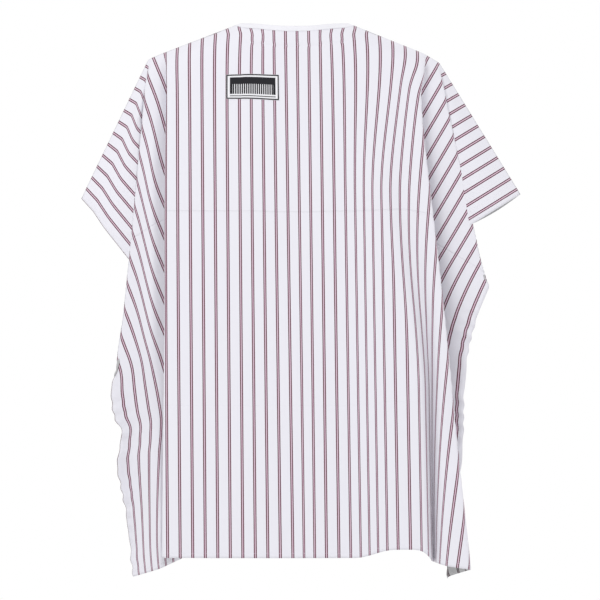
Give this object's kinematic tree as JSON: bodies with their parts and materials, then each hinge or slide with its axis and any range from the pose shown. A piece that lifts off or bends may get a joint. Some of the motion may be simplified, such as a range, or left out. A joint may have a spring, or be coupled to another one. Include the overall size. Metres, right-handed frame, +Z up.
{
  "type": "barber cape",
  "caption": "Striped barber's cape with cut-in-one short sleeves, bound flattened neckline, open sides, short split back and an adjustable snap tab at the back neck.",
  "frame": {"origin": "middle of the neck opening, level with the two neck points", "axes": "+Z up, -Y the way the wearer faces, +X towards the wearer's left arm"},
  "size_m": [1.014, 0.1575, 1.2782],
  "materials": {
    "striped_cloth": "white plain-weave cloth with paired thin maroon stripes every 28.5 mm",
    "plain_cloth": "plain white cotton-blend tape, matte",
    "facing_cloth": "white cloth, matte",
    "chest_label": "printed woven patch, black and white, matte",
    "care_label": "white satin label tape",
    "snap_plastic": "white moulded snap",
    "thread": "dense white sewing thread"
  },
  "bodies": {
    "cape": {"front_panel": "striped_cloth", "back_panel_left": "striped_cloth", "back_panel_right": "striped_cloth", "neck_binding": "plain_cloth", "front_neck_facing": "facing_cloth", "back_neck_facing_left": "facing_cloth", "back_neck_facing_right": "facing_cloth", "chest_label": "chest_label", "care_label": "care_label", "tab_root": "plain_cloth", "snap_stud_1": "snap_plastic", "snap_stud_2": "snap_plastic", "snap_stud_3": "snap_plastic", "snap_stud_4": "snap_plastic", "stud_backing_1": "snap_plastic", "stud_backing_2": "snap_plastic", "stud_backing_3": "snap_plastic", "stud_backing_4": "snap_plastic", "underarm_tack_left": "thread", "underarm_tack_right": "thread"},
    "closure_tab": {"closure_tab": "plain_cloth", "snap_socket_1": "snap_plastic", "snap_socket_2": "snap_plastic", "snap_cap_1": "snap_plastic", "snap_cap_2": "snap_plastic"}
  },
  "joints": [
    {"name": "tab_hinge", "type": "hinge", "parent": "cape", "child": "closure_tab", "pos_m": [0.028, 0.0489, -0.026], "axis": [0, 0, -1], "range_deg": [0, 110]}
  ]
}
